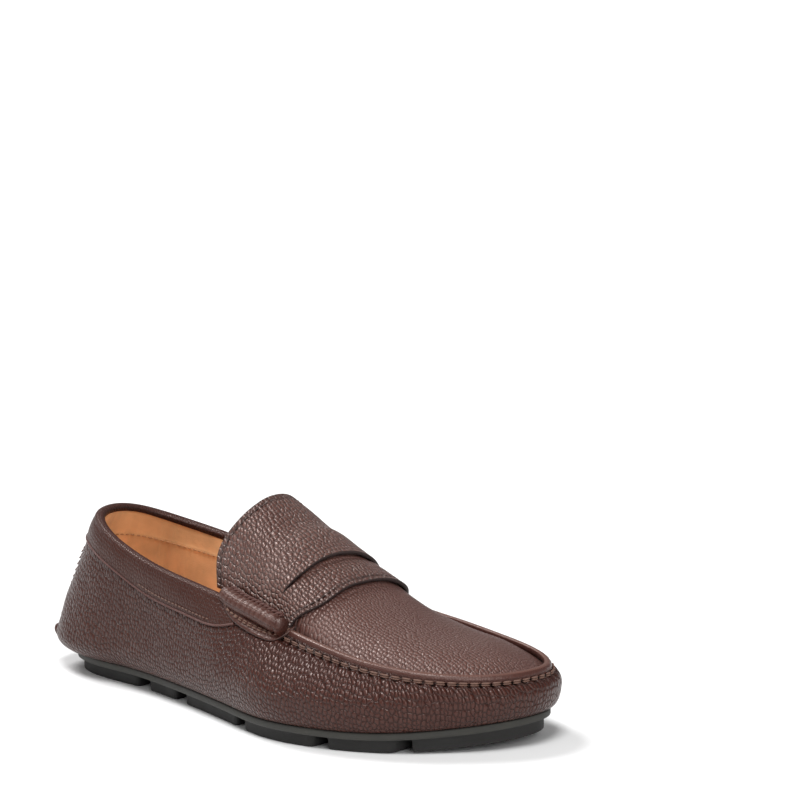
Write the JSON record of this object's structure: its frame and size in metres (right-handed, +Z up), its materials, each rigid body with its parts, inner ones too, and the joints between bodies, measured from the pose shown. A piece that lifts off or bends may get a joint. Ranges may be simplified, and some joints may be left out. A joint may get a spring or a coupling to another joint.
{
  "type": "driving moccasin",
  "caption": "Right-foot slip-on driving moccasin with apron toe, slotted saddle, rolled side seams, flexing tongue and segmented rubber sole.",
  "frame": {"origin": "on the ground under the middle of the sole, 140 mm in front of the back of the heel", "axes": "+X from heel to toe, +Y to the medial (inner) side of the right foot, +Z up"},
  "size_m": [0.2822, 0.1132, 0.0982],
  "materials": {
    "upper_leather": "pebbled dark brown leather, satin sheen",
    "lining_leather": "smooth tan lining leather, matt",
    "rubber_rim": "matt moulded black rubber",
    "rubber_tread": "matt moulded black rubber, finely ribbed",
    "thread": "waxed brown thread",
    "foam": "open-cell foam",
    "fibre_board": "pressed cellulose fibre board"
  },
  "bodies": {
    "shoe": {"sole_plate": "rubber_rim", "tread_heel": "rubber_tread", "tread_shank": "rubber_tread", "tread_waist": "rubber_tread", "tread_ball": "rubber_tread", "tread_forefoot": "rubber_tread", "tread_toe": "rubber_tread", "insole_board": "fibre_board", "footbed_foam": "foam", "sock_lining": "lining_leather", "wrap": "upper_leather", "heel_counter": "fibre_board", "lateral_roll": "upper_leather", "medial_roll": "upper_leather", "lateral_roll_thread": "thread", "medial_roll_thread": "thread", "saddle": "upper_leather", "apron": "upper_leather", "apron_welt": "upper_leather", "collar": "upper_leather", "collar_padding": "foam", "quarter_lining": "lining_leather", "vamp_lining": "lining_leather", "lateral_side_tab": "upper_leather", "medial_side_tab": "upper_leather", "heel_welt": "upper_leather", "heel_lobe": "upper_leather", "moc_seam_thread": "thread", "collar_thread": "thread", "side_tab_thread": "thread", "heel_seam_thread": "thread", "saddle_edge_thread": "thread"},
    "tongue_flap": {"tongue": "upper_leather", "tongue_lining": "lining_leather", "tongue_edge_thread": "thread"}
  },
  "joints": [
    {"name": "tongue_flex", "type": "hinge", "parent": "shoe", "child": "tongue_flap", "pos_m": [0.0185, 0, 0.084], "axis": [0, 1, 0], "range_deg": [0, 25], "stiffness_Nm_per_rad": 0.05}
  ]
}
